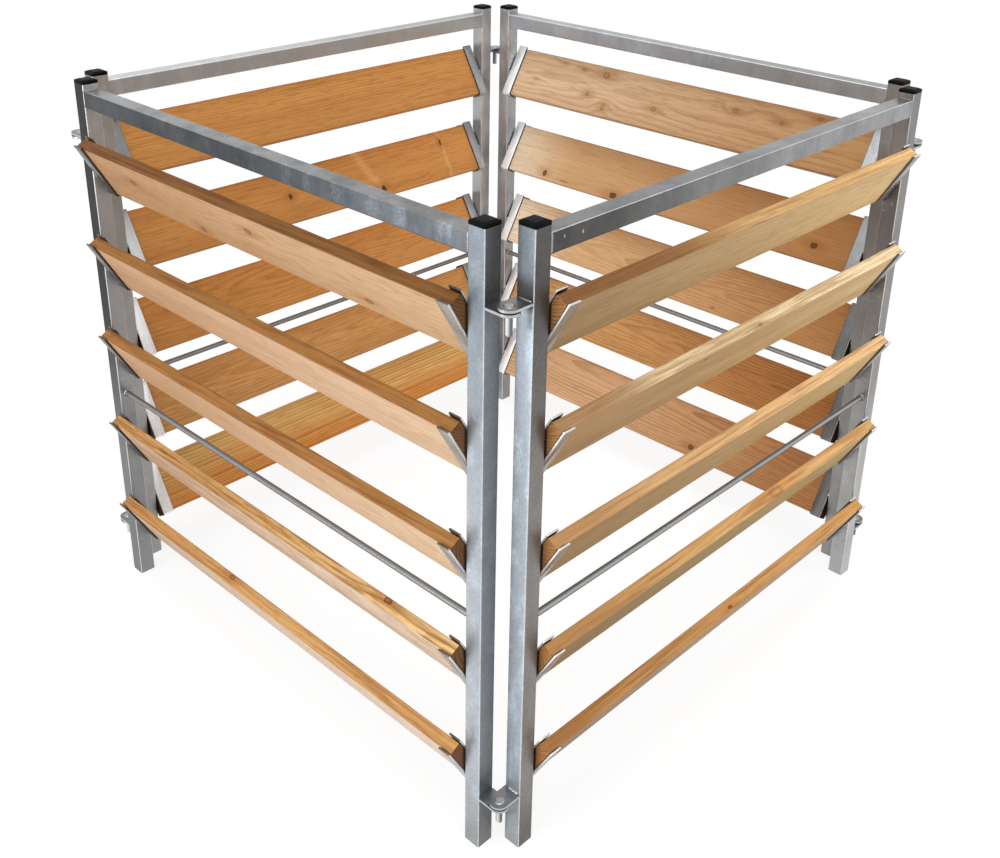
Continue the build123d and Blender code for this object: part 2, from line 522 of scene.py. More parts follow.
first_board = seen_from_board("front_slat_1", "front_slat_1")
board_length, board_width, board_thickness = (
    max(point[axis] for point in first_board) - min(point[axis] for point in first_board) for axis in range(3))
board_outset = panel_y - middle("front_slat_1").y  # a board's middle, out from the panel's
lean_out = -slide_axes["front_slat_1"].y  # what a step up a board moves out of the panel,
face_out = -board_turn("front_slat_1").col[2].y  # and a step out through its face
print(f"boards {board_length * 1000:.0f} x {board_width * 1000:.0f} x {board_thickness * 1000:.0f} mm")

# %% [markdown]
# A knot is a branch that crosses the board. It shows as a ragged dark core in a warm collar that is drawn out along
# the grain, and the rings swell around it. All knots of a board add up to three masks: the cores, their collars and
# the swelling of the rings. A knot is given by its place and radius in metres, its length over its height, and how
# dark it is: a sound branch is light brown, and a dead one nearly black. A knot in the upper edge is the tip of a
# branch, so it is an ellipsoid there instead of a rod through the board.

# %% Knots
knot_swell = 1.4  # of the rings, in radii of the knot
collar_stretch = (0.5, 1.0, 1.0)  # a collar is twice as long as its knot


def knot_masks(place, knots, edge_knots):
    """Cores, collars and ring swelling of knots (x, y, radius, stretch, darkness), with z for y in the upper edge."""
    ragged = (grain(place, (190, 190, 190)) - 0.5) * 0.8
    branches = [((x, y, 0), (1, 1, 0), *form) for x, y, *form in knots]
    branches += [((x, board_width / 2, z), (1, 1, 1), *form) for x, z, *form in edge_knots]
    masks = None
    for centre, reach, radius, stretch, darkness in branches:
        scale = Vector(reach) / radius
        scale.x /= stretch
        offset = vector(place, "MULTIPLY_ADD", scale, [-spot * size for spot, size in zip(centre, scale)])
        drawn_out = vector(offset, "MULTIPLY", collar_stretch)
        near, far = (vector(spot, "LENGTH", output="Value") for spot in (offset, drawn_out))
        heart = darkness ** 3
        outline = heart + (1 - heart) * soft_step(near + ragged, 0.10, 0.80)
        core = (1 - soft_step(near + ragged, 0.80, 1.15)) * outline * darkness
        collar = (1 - soft_step(far + ragged * 0.6, 0.6, 3.0)) * (0.4 + 0.6 * darkness)
        swell = place.math("EXPONENT", far * far * -0.14) * (knot_swell * radius)
        found = core, collar, swell
        masks = found if masks is None else [place.math(rule, old, new) for rule, old, new in zip(
            ("MAXIMUM", "MAXIMUM", "ADD"), masks, found)]
    return masks


print("a knot swells the rings by", knot_swell, "times its radius")

# %% [markdown]
# The rings are never true circles. A slow drift and a quick ripple bend them, a noise along the radius makes some
# years wide and dark and others narrow and pale, and fine rings lie between the wide ones.


# %% Rings
def late_wood(phase, start, full, end):
    """A line that darkens slowly through a year and stops short at its end."""
    return soft_step(phase, start, full) * (1 - soft_step(phase, end, 1.0))


def year_rings(place, seed, heart, spacing, lean, drift, ripple, swelling):
    """Wide and fine rings around the tree's heart."""
    x, y, z = along_axes(place)
    across = y - heart[0] + drift
    depth = z - heart[1] + x * lean
    radius = place.math("SQRT", across * across + depth * depth) + ripple
    years = (radius + swelling) / spacing
    uneven = place.node("TexNoise", {"noise_dimensions": "1D"}, {"W": years * 0.45, "Scale": 1.0, "Detail": 2.0}, "Fac")
    clear = soft_step(grain(place, (2.5, 30, 30), (seed[2], seed[0], seed[1])), 0.30, 0.68)
    wide = late_wood(place.math("FRACT", years + uneven * 1.4), 0.38, 0.92, 0.94)
    fine = late_wood(place.math("FRACT", years * 3.3 + uneven * 2.0), 0.1, 0.85, 0.88)
    return wide * (0.15 + uneven * 0.9 + clear * 0.6), fine


print("rings: wide and fine")

# %% [markdown]
# The board's colour is built in layers: rings between early and late wood, long fibres, cloudy patches, knots, then
# the sawn edges, whose rings stand out more than those of the planed faces and whose tone is partly painted light
# and shade, and the thirsty end grain, which is darkest, with a painted shadow where it lies behind the post. Beside
# a dead branch the grain can turn, and a painted sheen shows it as a pale flare. No board has one tone all over:
# painted light makes it lighter or darker from end to end and from its lower to its upper edge, and a painted sheen
# lightens some ends.

# %% One board's wood
resin, flare_sheen, collar_brown = (0.24, 0.090, 0.026), (0.95, 0.58, 0.22), (0.42, 0.17, 0.045)
edge_bark, end_line, end_shadow = (0.50, 0.38, 0.30), (0.030, 0.012, 0.004), (0.020, 0.010, 0.004)
half_length, half_width = board_length / 2, board_width / 2
sawn_edge = (half_width - 0.0040, half_width - 0.0006)
sawn_face = (half_length - 0.0006, half_length - 0.0003)
# where the painted shadow on the end grain behind the post fades out
behind_post = (post_side / 2 - 0.0008, post_side / 2 + 0.0014)
grain_depth = 0.0004


def larch(slat, pale, late, contrast, heart, spacing, lean, wander, edge, edge_contrast, edge_light_share, edge_darkening,
          darkening_end, sawn_end, fleck, light_end_to_end, rise, knots, edge_knots, knot_colour, flares, end_sheens):
    """The wood of one board. Heart is the tree's axis (y, z), spacing the ring width, both in metres."""
    material, start, shade = new_finish("larch_" + slat)
    place = board_place(start, slat)
    x, y, z = along_axes(place)
    a, b, c = seed = sum(middle(slat)) * 37.0, middle(slat).z * 91.0, middle(slat).x * 53.0
    drift = grain(place, (2.6, 9, 9), seed) - 0.5
    ripple = grain(place, (11, 45, 45), seed, detail=3.0) - 0.5
    knotty = knots or edge_knots
    cores, collars, swelling = knot_masks(place, knots, edge_knots) if knotty else (0, 0, 0)
    ring, fine = year_rings(place, seed, heart, spacing, lean, drift * wander, ripple * (wander * 0.20), swelling)

    fibre = grain(place, (16, 520, 520), seed, detail=4.0)
    patch = soft_step(grain(place, (2.0, 24, 24), seed, detail=3.0), 0.35, 0.75)
    streak = soft_step(grain(place, (16, 380, 380), (b, c, a), detail=1.0), 0.66, 0.78)
    dash = soft_step(grain(place, (24, 210, 210), (c, b, a), detail=3.0), 0.50, 0.66)
    sawn = soft_step(y, *sawn_edge)
    colour = mix(ring * (contrast + sawn * edge_contrast), pale, late)
    colour = mix(fine * 0.08 + (fibre - 0.5) * 0.8 + dash * fleck, colour, late)
    colour = mix(patch * 0.34, colour, late)
    colour = mix(streak * 0.30, colour, resin)
    # painted sheen: pale flares where the grain turns beside a dead branch
    for flare_x, flare_lean, flare_width in flares:
        away = abs(x - flare_x - y * flare_lean + ripple * 0.03)
        colour = mix((1 - soft_step(away, 0, flare_width)) * (0.1 + fibre * 0.6), colour, flare_sheen)
    if knotty:
        colour = mix(cores, mix(collars * 0.55, colour, collar_brown), knot_colour)

    # painted light from end to end, less of it on the sawn edges, and from the lower to the upper edge (rise)
    painted_light_along = mix(sawn * (1 - edge_light_share), mix(soft_step(x, -0.6, 0.6), *light_end_to_end), white)
    for factors in (painted_light_along, mix(soft_step(y, -0.06, 0.06), *rise)):
        colour = vector(colour, "MULTIPLY", factors)
    # painted sheen near some ends
    for sheen_start, sheen_end, factors in end_sheens:
        colour = mix(soft_step(x, sheen_start, sheen_end), colour, factors, "MULTIPLY")
    # the sawn edges' factors: partly their own colour, partly painted light and shade
    colour = mix(sawn, colour, edge, "MULTIPLY")
    bark = soft_step(grain(place, (7, 200, 200), (b, a, c), detail=3.0), 0.46, 0.62) * 0.55
    # the sawn edges get darker towards the near corner, and where there is bark
    near_corner = 1 - soft_step(x + drift * 0.3, darkening_end - 0.20, darkening_end)
    colour = mix(sawn * start.math("MAXIMUM", bark, near_corner * edge_darkening), colour, edge_bark, "MULTIPLY")
    # painted shadow on the end grain where it lies behind the post
    post_shadow_mask = 1 - soft_step(y * lean_out + z * face_out + board_outset, *behind_post)
    ended = soft_step(abs(x), *sawn_face)
    colour = mix(ended * 0.95, colour, mix(post_shadow_mask, mix(ring * 0.6, sawn_end, end_line), end_shadow))
    shade(
        Base_Color=colour,
        Roughness=0.50 + fibre * 0.12 - ring * 0.06 + ended * 0.15,
        Specular_IOR_Level=0.22,
        Normal=bump(ring * 0.35 + fibre * 0.65, grain_depth, 0.5),
    )
    return material


print("wood: rings, fibres, patches, streaks, knots, edges and ends")

# %% [markdown]
# The boards differ in tone and cut. The four sides have a common tone each, which holds painted light too: the left
# boards' deeper orange stands in for light bounced between the boards, and the front boards' dark ends for shade. The
# odd boards are named: those with knots, those with a darker or paler upper edge, which is partly painted light and
# shade, and those that are cut so close to the heart that their rings are wide and bold. The factors of the painted
# light for red, green and blue are given at a board's two ends, and rise gives those at its lower and upper edge.

# %% Tones and cuts
# painted light in the sides' tones: the left's deeper orange is bounced light, the front's dark sawn ends shade
side_tone_and_light = {
    "front": dict(pale=(0.74, 0.49, 0.29), late=(0.52, 0.285, 0.135), contrast=0.42, fleck=0.50,
                  edge=(0.58, 0.39, 0.19), sawn_end=(0.20, 0.078, 0.022),
                  light_end_to_end=((0.76, 0.68, 0.60), (1.17, 1.28, 1.46))),
    "right": dict(pale=(0.64, 0.40, 0.163), late=(0.350, 0.180, 0.062), contrast=0.26, fleck=0.28, edge_darkening=0.55,
                  edge=(1.62, 1.68, 2.02), sawn_end=(0.42, 0.190, 0.058),
                  light_end_to_end=((0.66, 0.62, 0.56), (1.06, 1.18, 1.28))),
    "back": dict(pale=(0.76, 0.47, 0.245), late=(0.48, 0.24, 0.095), contrast=0.55, fleck=0.36,
                 edge=(0.85, 0.75, 0.65), sawn_end=(0.36, 0.165, 0.055),
                 light_end_to_end=((0.70, 0.55, 0.38), (1.22, 1.40, 1.65)), rise=(tint(0.96), tint(1.10))),
    "left": dict(pale=(0.78, 0.362, 0.106), late=(0.44, 0.168, 0.039), contrast=0.50, fleck=0.36,
                 edge=(0.85, 0.75, 0.65), sawn_end=(0.36, 0.165, 0.055),
                 light_end_to_end=((1.03, 1.04, 1.05), (0.97, 0.95, 0.93)), rise=(tint(0.90), tint(1.22))),
}
usual_cut = dict(heart=(0.09, -0.07), spacing=0.0046, lean=0.012, wander=0.026, edge_contrast=0.20, edge_light_share=0.4,
                 edge_darkening=0.0, darkening_end=-0.22, rise=(white, white), knots=(), edge_knots=(),
                 knot_colour=(0.13, 0.045, 0.013), flares=(), end_sheens=())
flat_cut = dict(heart=(0.010, -0.030), spacing=0.0058, lean=0.045, wander=0.030)
# painted sheen at one end of some back boards, by the straps
sheen_near_strap = ((0.24, 0.46, (1.25, 1.62, 2.30)),)  # from here to there along x, and by how much
own_cut = {
    "front_slat_1": dict(
        pale=(0.64, 0.40, 0.205), late=(0.43, 0.22, 0.088), edge=(0.34, 0.235, 0.10),
        knots=((-0.1584, -0.0391, 0.0065, 1.1, 0.75), (0.0062, 0.0171, 0.0065, 1.4, 0.75),
               (0.2544, -0.0312, 0.0050, 2.0, 0.75), (-0.3206, 0.0126, 0.0055, 1.6, 0.75))),
    "front_slat_2": dict(edge=(0.47, 0.335, 0.153)),
    "front_slat_3": dict(flat_cut, edge=(0.53, 0.395, 0.197), edge_contrast=0.4),
    "front_slat_4": dict(
        heart=(0.03, -0.03), spacing=0.0075, wander=0.035, contrast=0.60, late=(0.34, 0.155, 0.060),
        pale=(0.82, 0.62, 0.43), edge=(0.85, 0.71, 0.40), edge_light_share=1.0, edge_contrast=0.10,
        edge_knots=((0.3139, -0.0050, 0.0050, 1.8, 0.8),)),
    "front_slat_5": dict(
        pale=(0.74, 0.59, 0.45), edge=(0.80, 0.585, 0.29), edge_knots=((-0.1082, -0.0038, 0.0040, 2.0, 0.7),)),
    "right_slat_1": dict(
        pale=(0.70, 0.49, 0.260), edge=(1.18, 1.08, 0.98), edge_light_share=1.0, edge_darkening=1.0, darkening_end=-0.05,
        light_end_to_end=((0.66, 0.62, 0.56), (1.18, 1.20, 1.12))),
    "right_slat_2": dict(
        pale=(0.75, 0.470, 0.218), edge=(1.49, 1.86, 2.49), edge_darkening=1.0,
        knots=((-0.1350, 0.0440, 0.0022, 2.0, 0.8),), edge_knots=((0.0058, 0.0054, 0.0026, 2.0, 0.7),)),
    "right_slat_4": dict(
        flat_cut, pale=(0.49, 0.320, 0.118), edge=(1.70, 1.58, 1.73),
        edge_knots=((0.1235, 0.0015, 0.0100, 2.0, 0.35),)),
    "right_slat_5": dict(
        pale=(0.51, 0.290, 0.128), edge=(1.36, 1.26, 1.05), edge_knots=((0.0100, 0.0040, 0.0030, 2.0, 0.9),)),
    "back_slat_1": dict(
        heart=(0.010, -0.045), spacing=0.0095, wander=0.040, contrast=0.42, pale=(0.80, 0.53, 0.30),
        light_end_to_end=((0.70, 0.58, 0.42), (1.08, 1.20, 1.40)), knot_colour=(0.26, 0.105, 0.020),
        knots=((0.3190, 0.0432, 0.0030, 1.8, 0.45), (0.2604, 0.0377, 0.0042, 1.6, 0.60),
               (0.1966, 0.0360, 0.0075, 1.4, 0.70), (0.2281, -0.0132, 0.0052, 1.2, 0.65),
               (0.1764, -0.0328, 0.0085, 0.6, 0.55), (0.0473, -0.0116, 0.0055, 1.3, 0.60),
               (0.3834, -0.0063, 0.0026, 1.5, 0.40), (-0.1429, 0.0236, 0.0050, 1.4, 0.60),
               (-0.2508, 0.0201, 0.0042, 1.4, 0.60), (-0.3253, 0.0433, 0.0038, 1.6, 0.60))),
    "back_slat_2": dict(
        spacing=0.0034, pale=(0.64, 0.367, 0.163), end_sheens=sheen_near_strap,
        knots=((0.3336, -0.0393, 0.0075, 0.8, 0.98), (0.2726, -0.0458, 0.0018, 6.0, 0.60),
               (0.1300, -0.0440, 0.0070, 1.4, 0.98), (-0.3627, -0.0231, 0.0060, 1.3, 0.95))),
    "back_slat_3": dict(
        flat_cut, heart=(-0.010, -0.030), pale=(0.74, 0.44, 0.205), end_sheens=sheen_near_strap,
        knots=((-0.1511, -0.0431, 0.0018, 1.5, 0.7),)),
    "back_slat_4": dict(flat_cut, pale=(0.70, 0.36, 0.130), late=(0.40, 0.165, 0.045), contrast=0.6),
    "back_slat_5": dict(
        pale=(0.75, 0.43, 0.215), heart=(0.04, -0.04), spacing=0.0062, lean=0.035, wander=0.030, contrast=0.80,
        knots=((-0.1259, -0.0338, 0.0060, 1.2, 0.9),)),
    "left_slat_1": dict(heart=(0.13, -0.05), spacing=0.0054, lean=0.020, wander=0.024, contrast=0.42),
    "left_slat_2": dict(
        heart=(0.07, -0.05), wander=0.030, contrast=0.32, flares=((-0.1330, 0.55, 0.018), (-0.3570, -0.06, 0.008)),
        knots=((-0.1546, -0.0393, 0.0090, 0.7, 1.0), (0.0838, -0.0008, 0.0065, 0.7, 1.0),
               (-0.3541, 0.0277, 0.0080, 0.35, 1.0))),
    "left_slat_3": dict(flat_cut, heart=(0.020, -0.035), contrast=0.45),
    "left_slat_4": dict(flat_cut, contrast=0.40, pale=(0.77, 0.405, 0.146)),
    "left_slat_5": dict(
        heart=(0.20, -0.03), spacing=0.0072, wander=0.010, lean=0.004, contrast=0.9, pale=(0.63, 0.38, 0.130),
        rise=((1.20, 0.92, 0.70), (1.58, 1.85, 2.10))),
}


def finish_node(node, finish):
    """Give a CAD node its finish."""
    nodes[node].data.materials.clear()
    nodes[node].data.materials.append(finish)


for panel in panel_turns:
    for number in slat_numbers:
        slat = f"{panel}_slat_{number}"
        finish_node(slat, larch(slat, **{**usual_cut, **side_tone_and_light[panel], **own_cut.get(slat, {})}))
print("boards finished:", len(panel_turns) * len(slat_numbers))

# %% [markdown]
# The steel nodes keep their CAD shapes and only get a finish.

# %% Finishes of the steel nodes
for panel in panel_turns:
    for piece in ("pin_post", "eye_post", "top_rail"):
        node = f"{panel}_{piece}"
        rim = front_rail_corner_highlight if node == "front_top_rail" else usual_corner_highlight
        tone = tube_tone(node, usual_tone, tube_side_light.get(node, {}), rim, foot_reflection.get(node, plain_foot))
        finish_node(node, zinc("zinc_on_" + node, tone, **tube_skin.get(node, {})))
    for piece in ("pin_plates", "eye_plates"):
        finish_node(f"{panel}_{piece}", zinc(f"zinc_on_{panel}_{piece}", plate_tone(f"{panel}_{piece}")))
    finish_node(f"{panel}_tie_rod", zinc(f"zinc_on_{panel}_rod", bar_tone(*rod_levels[panel]), **rod_skin))
    finish_node(f"{panel}_hinge_pins", pin_zinc)
print("steel nodes finished:", len(panel_turns) * 7)

# %% [markdown]
# ## Modelling by hand, in code
# The new pieces are modelled as by hand: add a primitive, enter edit mode, select by place, extrude, bevel, leave.
# Operators act on whatever is selected, so each step starts by deselecting everything, and a helper selects the
# vertices, edges or faces whose middle passes a test.


# %% Helpers for edit mode
def select_only(*objects):
    bpy.ops.object.select_all(action="DESELECT")
    for piece in objects:
        piece.select_set(True)
    bpy.context.view_layer.objects.active = objects[0]


def start_piece(add, location=(0, 0, 0), **sizes):
    """Add a primitive, keep its origin at the frame's, and enter edit mode with all of it selected."""
    bpy.ops.object.select_all(action="DESELECT")
    add(location=location, **sizes)
    bpy.ops.object.transform_apply(location=True, rotation=True, scale=True)
    bpy.ops.object.mode_set(mode="EDIT")
    bpy.ops.mesh.select_all(action="SELECT")
    return bpy.context.object


def pick(kind, test):
    """Select only the vertices, edges or faces whose middle passes the test."""
    bpy.ops.mesh.select_mode(type=kind)
    bpy.ops.mesh.select_all(action="DESELECT")
    mesh = bmesh.from_edit_mesh(bpy.context.object.data)
    for part in {"VERT": mesh.verts, "EDGE": mesh.edges, "FACE": mesh.faces}[kind]:
        corners = [part.co] if kind == "VERT" else [vertex.co for vertex in part.verts]
        if test(sum(corners, Vector()) / len(corners)):
            part.select_set(True)
    mesh.select_flush_mode()
    bmesh.update_edit_mesh(bpy.context.object.data)


def extrude(step):
    bpy.ops.mesh.extrude_region_move(TRANSFORM_OT_translate={"value": step})


def resize(factors, centre=(0, 0, 0)):
    bpy.ops.transform.resize(value=factors, center_override=centre)


def leave_edit_mode():
    """Turn all faces outwards and go back to object mode."""
    bpy.ops.mesh.select_all(action="SELECT")
    bpy.ops.mesh.normals_make_consistent(inside=False)
    bpy.ops.object.mode_set(mode="OBJECT")


def apply_modifier(piece, kind, **settings):
    select_only(piece)
    modifier = piece.modifiers.new(kind.lower(), kind)
    for key, value in settings.items():
        setattr(modifier, key, value)
    bpy.ops.object.modifier_apply(modifier=modifier.name)


def smooth(piece, finish, sharp=None):
    """Shade a piece smoothly, up to a sharp angle if one is given, and give it its finish."""
    select_only(piece)
    if sharp:
        bpy.ops.object.shade_smooth_by_angle(angle=sharp)
    else:
        bpy.ops.object.shade_smooth()
    piece.data.materials.append(finish)


def copy_to(piece, place):
    """A copy with its own mesh, whose place is then put into the mesh."""
    select_only(piece)
    bpy.ops.object.duplicate()
    copy = bpy.context.object
    copy.matrix_world = place
    bpy.ops.object.transform_apply(location=True, rotation=True, scale=True)
    return copy


def join(pieces, name):
    select_only(*pieces)
    bpy.ops.object.join()
    pieces[0].name = name
    return pieces[0]


print("helpers: start_piece, pick, extrude, resize, leave_edit_mode, apply_modifier, smooth, copy_to, join")

# %% [markdown]
# ## Strap holders
# Each holder is a flat bar bent to a U around the lower edge of a board. By hand it starts as a plane, the web under
# the board. Its two long edges are extruded upwards into legs, the two corners are bevelled into bends, and Solidify
# gives the sheet its thickness on both sides of that middle surface. The strap is modelled upright, in a board's own
# axes set upright: x along, y in, z up, around the middle of the board.

# %% Sizes of the straps, from the CAD node
strap_thickness = 0.003
strap_bend = 0.0015  # inner bend radius
strap_gap = 0.0022  # between the strap's edge and the post, bridged by welds
strap_corner = 0.0012  # ground corners at the tips
strap_edge = 0.0004  # broken edges all round

holder_points = [point for point in seen_from_board("front_slat_1", "front_eye_holders")
                 if abs(point.y) < board_width * 0.7]  # of the five straps, the one around this board
strap_inner_edge = min(point.x for point in holder_points)
strap_tip = max(point.y for point in holder_points)
strap_floor = min(point.y for point in holder_points) + strap_thickness / 2
strap_side = max(point.z for point in holder_points) - strap_thickness / 2
post_edge = post_face - strap_gap  # the strap's edge at the post
strap_width = post_edge - strap_inner_edge
print(f"strap {strap_width * 1000:.1f} mm wide, {2 * strap_side * 1000:.1f} mm between the legs' middles")

# %% Model one strap
strap = start_piece(bpy.ops.mesh.primitive_plane_add, size=1)
resize((strap_width, 2 * strap_side, 1))
bpy.ops.transform.translate(value=(0, 0, strap_floor))
pick("EDGE", lambda point: abs(point.y) > strap_side * 0.9)
extrude((0, 0, strap_tip - strap_floor))
pick("EDGE", lambda point: abs(point.y) > strap_side * 0.9 and point.z < strap_floor + 0.001)
bpy.ops.mesh.bevel(offset=strap_bend + strap_thickness / 2, segments=5, affect="EDGES")
pick("VERT", lambda point: point.z > strap_tip - 0.001)
bpy.ops.mesh.bevel(offset=strap_corner, segments=3, affect="VERTICES")
leave_edit_mode()
apply_modifier(strap, "SOLIDIFY", thickness=strap_thickness, offset=0.0, use_even_offset=True)
apply_modifier(strap, "BEVEL", width=strap_edge, segments=2, limit_method="ANGLE", angle_limit=radians(50))
smooth(strap, weld_zinc, sharp=radians(40))  # each post's straps get a zinc of their own below
print("strap:", len(strap.data.polygons), "faces")

# %% [markdown]
# A stitch of weld bridges the gap between strap and post in two places on each leg. It starts as a small sphere that
# is flattened and pulled about: a weld is a frozen drop, never a clean ball.

# %% Model one stitch of weld
stitch_length = 0.0090
stitch_height = 0.0032
stitch = start_piece(bpy.ops.mesh.primitive_uv_sphere_add, segments=10, ring_count=6, radius=0.5)
resize((stitch_height * 1.9, stitch_height * 1.6, stitch_length))
pick("VERT", lambda point: point.z > stitch_length * 0.2)  # a thick upper end that leans over
resize((1.15, 1.2, 1))
bpy.ops.transform.translate(value=(0.0002, 0.0004, 0))
pick("VERT", lambda point: abs(point.z) < stitch_length * 0.1)  # a waist
resize((0.85, 0.85, 1))
leave_edit_mode()
smooth(stitch, weld_zinc)
print("stitch:", len(stitch.data.polygons), "faces")

# %% [markdown]
# The zinc of the straps mirrors the wood, and that is painted: painted reflections give the legs its brown, a painted
# shadow makes the inside of the mouth nearly black past the board, and painted highlights light only the cut edges at
# the post and most of the tips.

# %% Tones of the straps
# painted reflections on the straps' legs, per post
strap_levels = {  # outer legs and their warmth, inner legs near the floor and near the top, metal, roughness
    "front_pin": (0.12, 0.01, 0.30, 0.30, 0.6, 0.24), "front_eye": (0.38, 0.05, 0.12, 0.12, 0.5, 0.24),
    "right_pin": (0.23, 0.28, 0.12, 0.12, 0.5, 0.24), "right_eye": (0.34, 0.01, 0.30, 0.30, 0.5, 0.24),
    "back_pin": (0.30, 0.01, 0.16, 0.56, 0.9, 0.24), "back_eye": (0.30, 0.01, 1.00, 1.00, 1.0, 0.50),
    "left_pin": (0.30, 0.01, 0.46, 0.46, 0.5, 0.24), "left_eye": (0.30, 0.01, 1.00, 0.24, 0.9, 0.24),
}
# painted light and shade on the strap tips: level and warmth
tip_light = {"front": (0.09, 0.35), "right": (0.80, 0.03), "back": (0.40, 0.00), "left": (0.40, 0.00)}
# the inner legs' painted reflection changes between these heights
near_floor, near_top = 0.45, 0.88  # heights between which the inner legs change
cut_shade = 0.6  # the outer legs' cut edges, as a share of the legs' tone
# painted shade on the inner cut edges, painted highlight at the post, painted shadow in the mouth
inner_cut_shade, cut_highlight, mouth_shadow = tint(0.06, 0.04), tint(0.80, 0.03), (0.040, 0.024, 0.010)
strap_mouth = strap_side - strap_thickness / 2
slat_pitch = middle("front_slat_4").z - middle("front_slat_5").z


def leg_tone(panel, outer, outer_warmth, inner_low, inner_high):
    """Painted light of one post's straps. All boards are one pitch apart, so the height is wrapped to one board's."""
    slat = f"{panel}_slat_5"
    along, upward, out = board_turn(slat).col
    centre = middle(slat)

    def tone(place):
        x, y, z = along_axes(place)
        level = place.math("WRAP", z - centre.z, slat_pitch / 2, -slat_pitch / 2)
        across, height, reach = ((x - centre.x) * axis.x + (y - centre.y) * axis.y + level * axis.z
                                 for axis in (out, upward, along))
        reach = abs(reach)
        # painted reflection on the inner legs, changing with height
        inner = mix(soft_step(z, near_floor, near_top), tint(inner_low), tint(inner_high, -0.03))
        # painted shade on the legs' cut edges that face along the board
        cut_edge = 1 - soft_step(reach, strap_inner_edge + 0.0003, strap_inner_edge + 0.0010)
        inside = mix(cut_edge, inner, inner_cut_shade)
        outside = mix(cut_edge, tint(outer, outer_warmth), tint(cut_shade * outer, outer_warmth))
        legs = mix(soft_step(across, -0.004, 0.004), inside, outside)
        # painted highlight on the cut edge at the post
        legs = mix(soft_step(reach, post_edge - 0.0007, post_edge - 0.0002), legs, cut_highlight)
        # painted light and shade on the tips
        legs = mix(soft_step(height, strap_tip - 0.0009, strap_tip - 0.0003), legs, tint(*tip_light[panel]))
        # painted shadow inside the mouth, past the board
        past_board = place.math("MAXIMUM", soft_step(height, half_width - 0.0010, half_width),
                                soft_step(reach, half_length - 0.0006, half_length))
        mouth_side = 1 - soft_step(abs(across), strap_mouth + 0.0001, strap_mouth + 0.0006)
        return mix(mouth_side * past_board, legs, mouth_shadow)

    return tone


print("tones for", len(strap_levels), "rows of straps")

# %% [markdown]
# The strap and its stitches are then copied to all ten holders of a panel and turned into the four panels. The five
# straps of one post become one piece, which stands for the CAD node of that post's holders and moves with its panel.

# %% Copy the straps to every post
outer_leg, inner_leg = -1, 1
stitch_places = [(outer_leg, -0.046), (outer_leg, -0.012), (inner_leg, -0.006), (inner_leg, 0.034)]
upright = Matrix.Rotation(radians(-90), 4, "X")  # the strap's axes to a board's
strap_skin = dict(stain=0.20, frost=0.2, wave=0.05)


def board_matrix(slat):
    return Matrix.Translation(middle(slat)) @ board_turn(slat).to_4x4()


for panel, turn in turn_of.items():
    for end, side in ends.items():
        *levels, metallic, rough = strap_levels[f"{panel}_{end}"]
        strap.data.materials[0] = zinc(f"zinc_on_{panel}_{end}_straps", leg_tone(panel, *levels),
                                       metallic=metallic, rough=rough, **strap_skin)
        holders = []
        for number in slat_numbers:
            lay = turn @ board_matrix(f"front_slat_{number}") @ upright
            strap_x = side * (post_edge - strap_width / 2)
            holders.append(copy_to(strap, lay @ Matrix.Translation((strap_x, 0, 0))))
            for leg, height in stitch_places:
                spot = Vector((side * (post_face - strap_gap / 2), leg * strap_side, height))
                holders.append(copy_to(stitch, lay @ Matrix.Translation(spot)))
        node = f"{panel}_{end}_holders"
        piece = join(holders, f"{panel}_{end}_straps")
        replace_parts(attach(piece, f"{panel}_panel"), node)
bpy.data.objects.remove(strap)
bpy.data.objects.remove(stitch)
print("strap pieces:", len(panel_turns) * len(ends))

# %% [markdown]
# ## Weld beads
# The rails, plates and rods are welded to the posts. A bead is a row of frozen puddles, so it is drawn as a welder
# draws it: a small disc is extruded step by step, and each step grows or shrinks a little. The zinc rounds it off.
# One bead serves the rails and the hinge plates, and a ring of the same lumps goes round the ends of the rod.

# %% Model one bead
bead_length = 0.0225
bead_radius = 0.0018
bead_steps = 11
bead_tip = 0.35  # a bead's ends, as a share of its radius
bead_stray = 0.0002  # how far a step strays sideways
bead = start_piece(bpy.ops.mesh.primitive_circle_add, vertices=8, radius=bead_radius * bead_tip, fill_type="NGON",
                   location=(0, 0, -bead_length / 2))
size = bead_tip
for step in range(1, bead_steps + 1):
    height = -bead_length / 2 + bead_length * step / bead_steps
    taper = min(1.0, bead_tip + 0.5 * min(step, bead_steps - step))
    wanted = taper * (1.0 + 0.13 * (-1) ** step + 0.06 * sin(2.3 * step))
    extrude((bead_stray * sin(1.7 * step), bead_stray * cos(2.9 * step), bead_length / bead_steps))
    resize((wanted / size, wanted / size, 1), (0, 0, height))
    size = wanted
leave_edit_mode()
smooth(bead, weld_zinc)
print("bead:", len(bead.data.polygons), "faces")

# %% Model one ring of weld
rod_low, rod_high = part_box("front_tie_rod")
rod_radius = (rod_high.z - rod_low.z) / 2
ring_radius = rod_radius + 0.0004
ring_thickness = 0.0020
lump_reach = 0.0032
ring = start_piece(bpy.ops.mesh.primitive_torus_add, major_segments=18, minor_segments=7,
                   major_radius=ring_radius, minor_radius=ring_thickness, rotation=(0, pi / 2, 0))
for lump in range(6):
    angle = lump * pi / 3 + 0.3 * sin(lump)
    spot = Vector((0, cos(angle), sin(angle))) * ring_radius
    pick("VERT", lambda point: (point - spot).length < lump_reach)
    resize((1.25, 1.2, 1.2), spot)
leave_edit_mode()
smooth(ring, weld_zinc)
print("ring:", len(ring.data.polygons), "faces round a rod of", round(rod_radius * 2000, 1), "mm")

# %% [markdown]
# The pins go through their plates and are welded from above, which leaves a low round puddle. Where the zinc ran off
# slowly it froze in drops: a bulge below and a thin tail above. The drop starts as a sphere whose upper half is
# drawn out into the tail.

